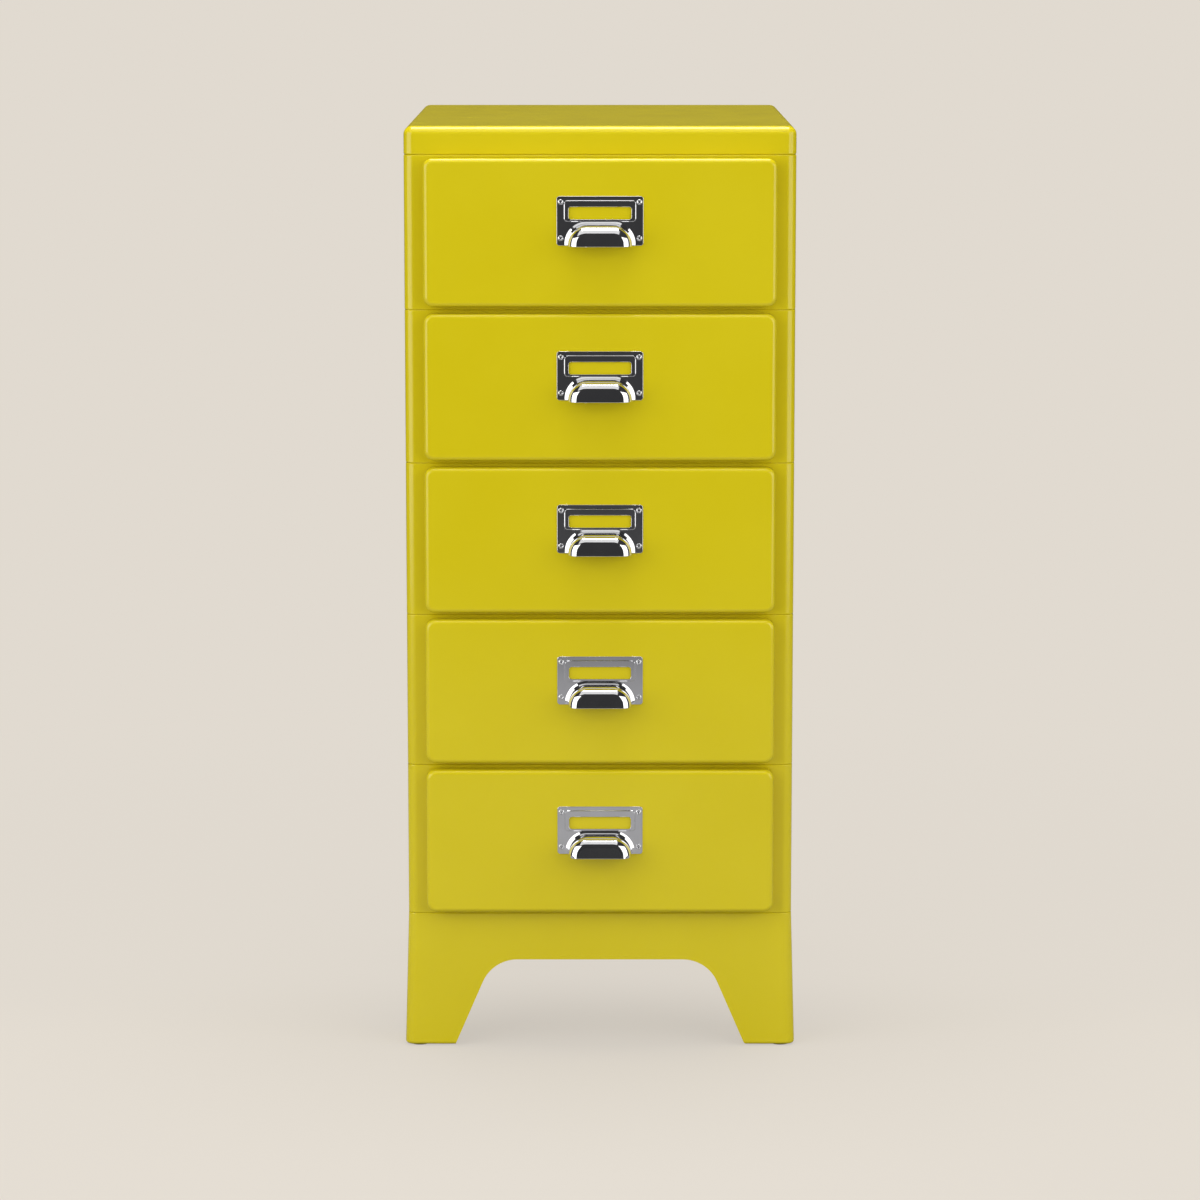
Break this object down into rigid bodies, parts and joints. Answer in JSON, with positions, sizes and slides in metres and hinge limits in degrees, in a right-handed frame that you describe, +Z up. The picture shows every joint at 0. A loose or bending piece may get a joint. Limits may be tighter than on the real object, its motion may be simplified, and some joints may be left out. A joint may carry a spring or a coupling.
{
  "type": "archive cabinet",
  "caption": "Tall narrow steel archive cabinet: stacked drawer cases with sliding sheet drawers, cup pulls with label frames, a rounded cover and a splayed arched leg base.",
  "frame": {"origin": "on the floor, under the middle of the bounding box", "axes": "+Z up, -Y out of the drawer fronts, +X to the right of someone facing the drawers"},
  "size_m": [0.2802, 0.3791, 0.66],
  "materials": {
    "yellow_enamel": "satin gloss mustard yellow powder coat on folded steel sheet",
    "chrome": "bright chrome plate on pressed steel",
    "zinc_steel": "dull zinc plate on steel",
    "glide_plastic": "black nylon"
  },
  "bodies": {
    "cabinet": {"top_cover": "yellow_enamel", "leg_base": "yellow_enamel", "foot_glides": "glide_plastic", "stacking_bolts": "zinc_steel", "stacking_nuts": "zinc_steel", "case_1_shell": "yellow_enamel", "case_1_floor": "yellow_enamel", "case_1_runner_left": "zinc_steel", "case_1_runner_right": "zinc_steel", "case_2_shell": "yellow_enamel", "case_2_floor": "yellow_enamel", "case_2_runner_left": "zinc_steel", "case_2_runner_right": "zinc_steel", "case_3_shell": "yellow_enamel", "case_3_floor": "yellow_enamel", "case_3_runner_left": "zinc_steel", "case_3_runner_right": "zinc_steel", "case_4_shell": "yellow_enamel", "case_4_floor": "yellow_enamel", "case_4_runner_left": "zinc_steel", "case_4_runner_right": "zinc_steel", "case_5_shell": "yellow_enamel", "case_5_floor": "yellow_enamel", "case_5_runner_left": "zinc_steel", "case_5_runner_right": "zinc_steel"},
    "drawer_1": {"drawer_1_front": "yellow_enamel", "drawer_1_inner_panel": "yellow_enamel", "drawer_1_tray": "yellow_enamel", "drawer_1_slide_left": "zinc_steel", "drawer_1_slide_right": "zinc_steel", "drawer_1_pull": "chrome", "drawer_1_pull_rivets": "chrome"},
    "drawer_2": {"drawer_2_front": "yellow_enamel", "drawer_2_inner_panel": "yellow_enamel", "drawer_2_tray": "yellow_enamel", "drawer_2_slide_left": "zinc_steel", "drawer_2_slide_right": "zinc_steel", "drawer_2_pull": "chrome", "drawer_2_pull_rivets": "chrome"},
    "drawer_3": {"drawer_3_front": "yellow_enamel", "drawer_3_inner_panel": "yellow_enamel", "drawer_3_tray": "yellow_enamel", "drawer_3_slide_left": "zinc_steel", "drawer_3_slide_right": "zinc_steel", "drawer_3_pull": "chrome", "drawer_3_pull_rivets": "chrome"},
    "drawer_4": {"drawer_4_front": "yellow_enamel", "drawer_4_inner_panel": "yellow_enamel", "drawer_4_tray": "yellow_enamel", "drawer_4_slide_left": "zinc_steel", "drawer_4_slide_right": "zinc_steel", "drawer_4_pull": "chrome", "drawer_4_pull_rivets": "chrome"},
    "drawer_5": {"drawer_5_front": "yellow_enamel", "drawer_5_inner_panel": "yellow_enamel", "drawer_5_tray": "yellow_enamel", "drawer_5_slide_left": "zinc_steel", "drawer_5_slide_right": "zinc_steel", "drawer_5_pull": "chrome", "drawer_5_pull_rivets": "chrome"}
  },
  "joints": [
    {"name": "drawer_1_slide", "type": "slide", "parent": "cabinet", "child": "drawer_1", "axis": [0, -1, 0], "range_m": [0, 0.2505]},
    {"name": "drawer_2_slide", "type": "slide", "parent": "cabinet", "child": "drawer_2", "axis": [0, -1, 0], "range_m": [0, 0.2505]},
    {"name": "drawer_3_slide", "type": "slide", "parent": "cabinet", "child": "drawer_3", "axis": [0, -1, 0], "range_m": [0, 0.2505]},
    {"name": "drawer_4_slide", "type": "slide", "parent": "cabinet", "child": "drawer_4", "axis": [0, -1, 0], "range_m": [0, 0.2505]},
    {"name": "drawer_5_slide", "type": "slide", "parent": "cabinet", "child": "drawer_5", "axis": [0, -1, 0], "range_m": [0, 0.2505]}
  ]
}
